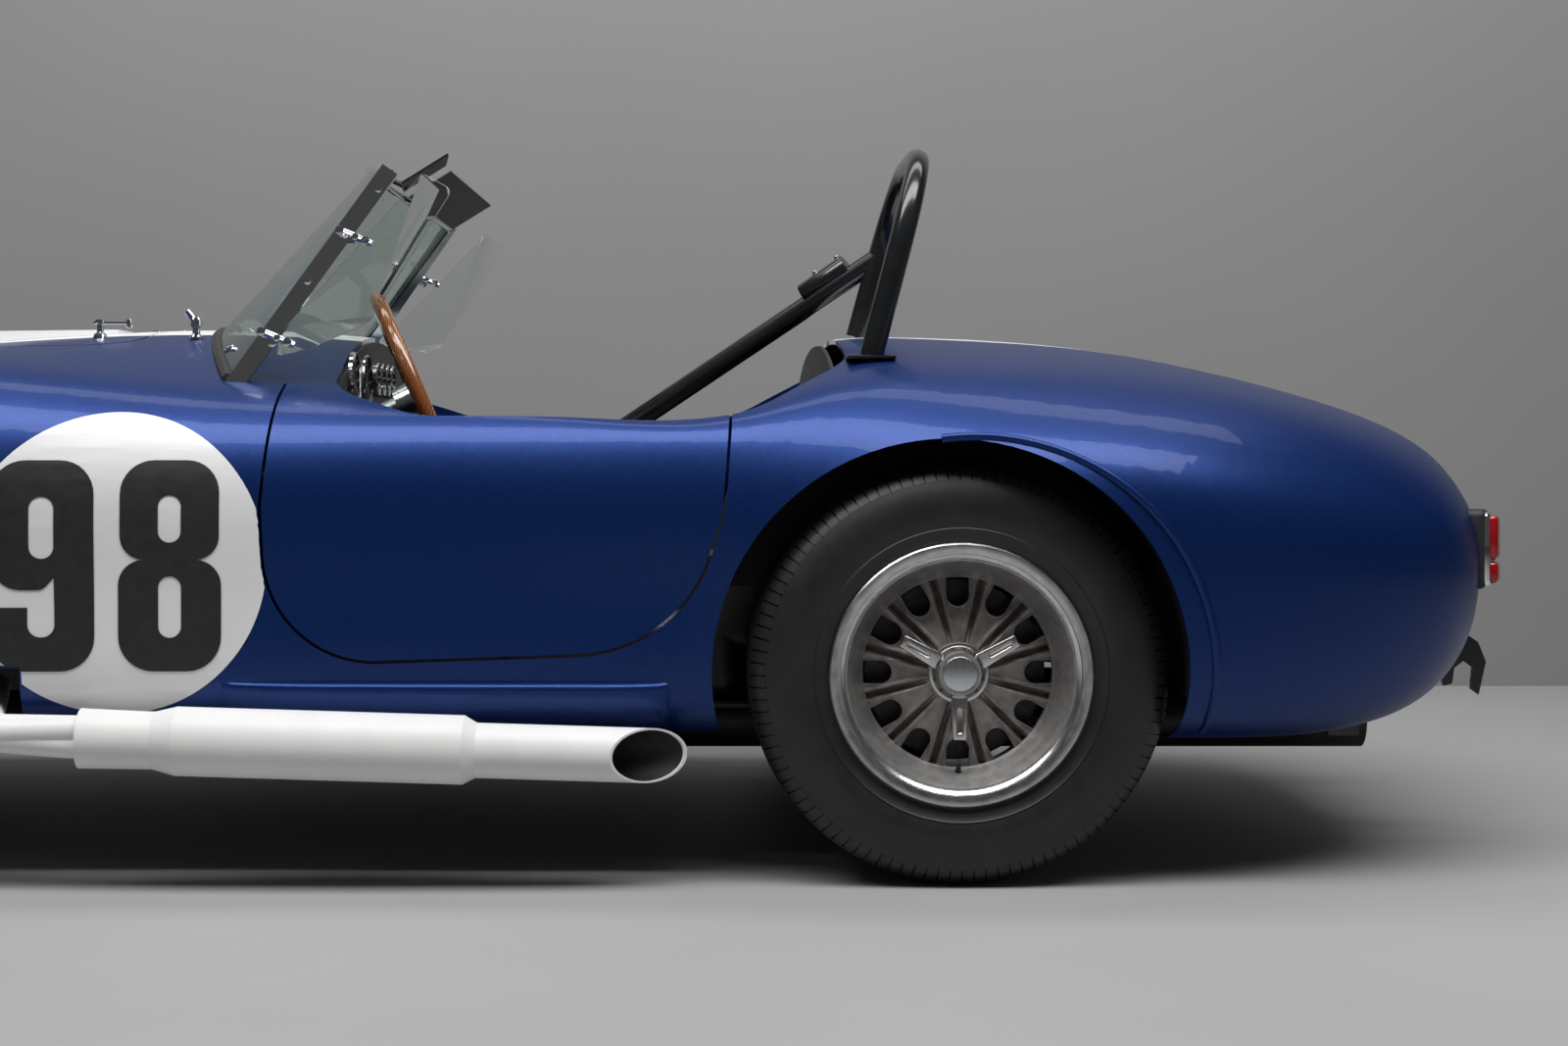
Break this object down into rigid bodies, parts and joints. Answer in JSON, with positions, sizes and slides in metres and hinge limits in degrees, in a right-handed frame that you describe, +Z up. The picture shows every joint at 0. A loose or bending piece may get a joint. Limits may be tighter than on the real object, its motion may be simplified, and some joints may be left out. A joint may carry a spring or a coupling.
{
  "type": "open two-seat competition sports car",
  "caption": "Open two-seat competition roadster with flared wings, side exhausts, roll hoop, wind wings and deep-dish centre-lock wheels.",
  "frame": {"origin": "centre of the overall length and width, on the ground under the tyres", "axes": "+X forward to the nose, +Y to the car's left side, +Z up"},
  "size_m": [3.98, 1.7276, 1.2164],
  "materials": {
    "blue_paint": "gloss clear coat",
    "white_paint": "gloss",
    "black_paint": "satin",
    "white_ceramic": "matt",
    "chrome": "polished",
    "wheel_alloy": "cast, polished lip",
    "steel": "brushed",
    "cast": "cast",
    "tyre": "matt",
    "clear_glass": "clear",
    "acrylic": "clear",
    "black_plastic": "matt",
    "leather": "grained",
    "wood": "varnished",
    "lamp": "clear",
    "red_lens": "gloss"
  },
  "bodies": {
    "car": {"body_shell": "blue_paint", "boot_floor": "black_paint", "chassis": "black_paint", "dashboard": "black_plastic", "engine_block": "cast", "firewall": "black_paint", "floor_pan": "black_paint", "front_jack_brackets": "black_paint", "front_suspension": "black_paint", "front_wheel_houses": "black_paint", "fuel_filler": "steel", "gear_lever": "chrome", "headlamps": "lamp", "radiator": "black_paint", "rear_bulkhead": "black_paint", "rear_jack_brackets": "black_paint", "rear_suspension": "cast", "rear_wheel_houses": "black_paint", "roll_bar": "black_paint", "seats": "leather", "side_exhausts": "white_ceramic", "steering_column": "black_paint", "sun_visors": "black_plastic", "tail_lamps": "red_lens", "tunnel": "black_plastic", "wind_wings": "acrylic", "windscreen_frame": "chrome", "windscreen_glass": "clear_glass"},
    "bonnet": {"bonnet": "blue_paint", "bonnet_scoop": "white_paint"},
    "boot_lid": {"boot_lid": "blue_paint"},
    "door_left": {"door_left": "blue_paint"},
    "door_right": {"door_right": "blue_paint"},
    "knuckle_left": {"knuckle_left": "cast"},
    "knuckle_right": {"knuckle_right": "cast"},
    "steering_wheel": {"steering_wheel": "wood"},
    "filler_cap": {"filler_cap": "steel"},
    "wheel_front_left": {"tyre_front_left": "tyre", "rim_front_left": "wheel_alloy", "hub_front_left": "steel", "spinner_front_left": "wheel_alloy"},
    "wheel_front_right": {"tyre_front_right": "tyre", "rim_front_right": "wheel_alloy", "hub_front_right": "steel", "spinner_front_right": "wheel_alloy"},
    "wheel_rear_left": {"tyre_rear_left": "tyre", "rim_rear_left": "wheel_alloy", "hub_rear_left": "steel", "spinner_rear_left": "wheel_alloy"},
    "wheel_rear_right": {"tyre_rear_right": "tyre", "rim_rear_right": "wheel_alloy", "hub_rear_right": "steel", "spinner_rear_right": "wheel_alloy"}
  },
  "joints": [
    {"name": "steer_left", "type": "hinge", "parent": "car", "child": "knuckle_left", "pos_m": [1.284, 0.63, 0.336], "axis": [0, 0, 1], "range_deg": [-26, 26]},
    {"name": "steer_right", "type": "hinge", "parent": "car", "child": "knuckle_right", "pos_m": [1.284, -0.63, 0.336], "axis": [0, 0, 1], "range_deg": [-26, 26]},
    {"name": "steering_wheel_turn", "type": "hinge", "parent": "car", "child": "steering_wheel", "pos_m": [-0.104, 0.34, 0.775], "axis": [-0.9159, -0.1015, 0.3883], "range_deg": [-364, 364]},
    {"name": "wheel_spin_front_left", "type": "hinge", "parent": "knuckle_left", "child": "wheel_front_left", "pos_m": [1.284, 0.69, 0.336], "axis": [0, 1, 0], "continuous": true},
    {"name": "wheel_spin_front_right", "type": "hinge", "parent": "knuckle_right", "child": "wheel_front_right", "pos_m": [1.284, -0.69, 0.336], "axis": [0, 1, 0], "continuous": true},
    {"name": "wheel_spin_rear_left", "type": "hinge", "parent": "car", "child": "wheel_rear_left", "pos_m": [-1.002, 0.68, 0.336], "axis": [0, 1, 0], "continuous": true},
    {"name": "wheel_spin_rear_right", "type": "hinge", "parent": "car", "child": "wheel_rear_right", "pos_m": [-1.002, -0.68, 0.336], "axis": [0, 1, 0], "continuous": true},
    {"name": "door_left_hinge", "type": "hinge", "parent": "car", "child": "door_left", "pos_m": [0.11, 0.774, 0.55], "axis": [0, 0, 1], "range_deg": [-65, 0]},
    {"name": "door_right_hinge", "type": "hinge", "parent": "car", "child": "door_right", "pos_m": [0.11, -0.774, 0.55], "axis": [0, 0, 1], "range_deg": [0, 65]},
    {"name": "bonnet_hinge", "type": "hinge", "parent": "car", "child": "bonnet", "pos_m": [1.688, 0, 0.722], "axis": [0, 1, 0], "range_deg": [0, 50]},
    {"name": "boot_hinge", "type": "hinge", "parent": "car", "child": "boot_lid", "pos_m": [-1.328, 0, 0.87], "axis": [0, 1, 0], "range_deg": [0, 60]},
    {"name": "filler_cap_hinge", "type": "hinge", "parent": "car", "child": "filler_cap", "pos_m": [-1.082, -0.5, 0.871], "axis": [0, 1, 0], "range_deg": [0, 100]}
  ],
  "couplings": [
    {"joint": "steer_right", "follows": "steer_left", "ratio": 1},
    {"joint": "steering_wheel_turn", "follows": "steer_left", "ratio": 14}
  ]
}
